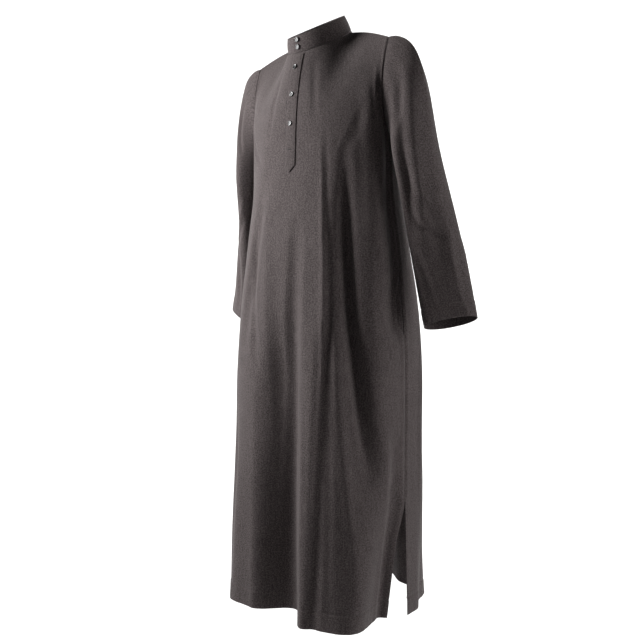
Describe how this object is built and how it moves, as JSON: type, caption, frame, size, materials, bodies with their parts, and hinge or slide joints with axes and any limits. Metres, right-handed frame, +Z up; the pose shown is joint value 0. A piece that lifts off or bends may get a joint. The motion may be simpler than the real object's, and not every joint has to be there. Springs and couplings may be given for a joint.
{
  "type": "thobe robe",
  "caption": "Long plain robe in its worn form: stand collar, pointed button placket, long set-in sleeves, side seam pockets and side vents.",
  "frame": {"origin": "middle of the neck base at the height of the high shoulder point, where the wearer's neck and shoulders hold the robe", "axes": "+Z up, +X to the wearer's left, the front faces -Y"},
  "size_m": [0.7718, 0.3927, 1.398],
  "materials": {
    "cloth": "matt charcoal taupe plain weave, finely speckled",
    "button": "dark polished plastic"
  },
  "bodies": {
    "root": {"front_panel": "cloth", "back_panel": "cloth", "left_sleeve": "cloth", "right_sleeve": "cloth", "collar_band": "cloth", "placket": "cloth", "left_pocket": "cloth", "right_pocket": "cloth", "button_collar_1": "button", "button_collar_2": "button", "button_placket_1": "button", "button_placket_2": "button", "button_placket_3": "button"}
  },
  "joints": []
}
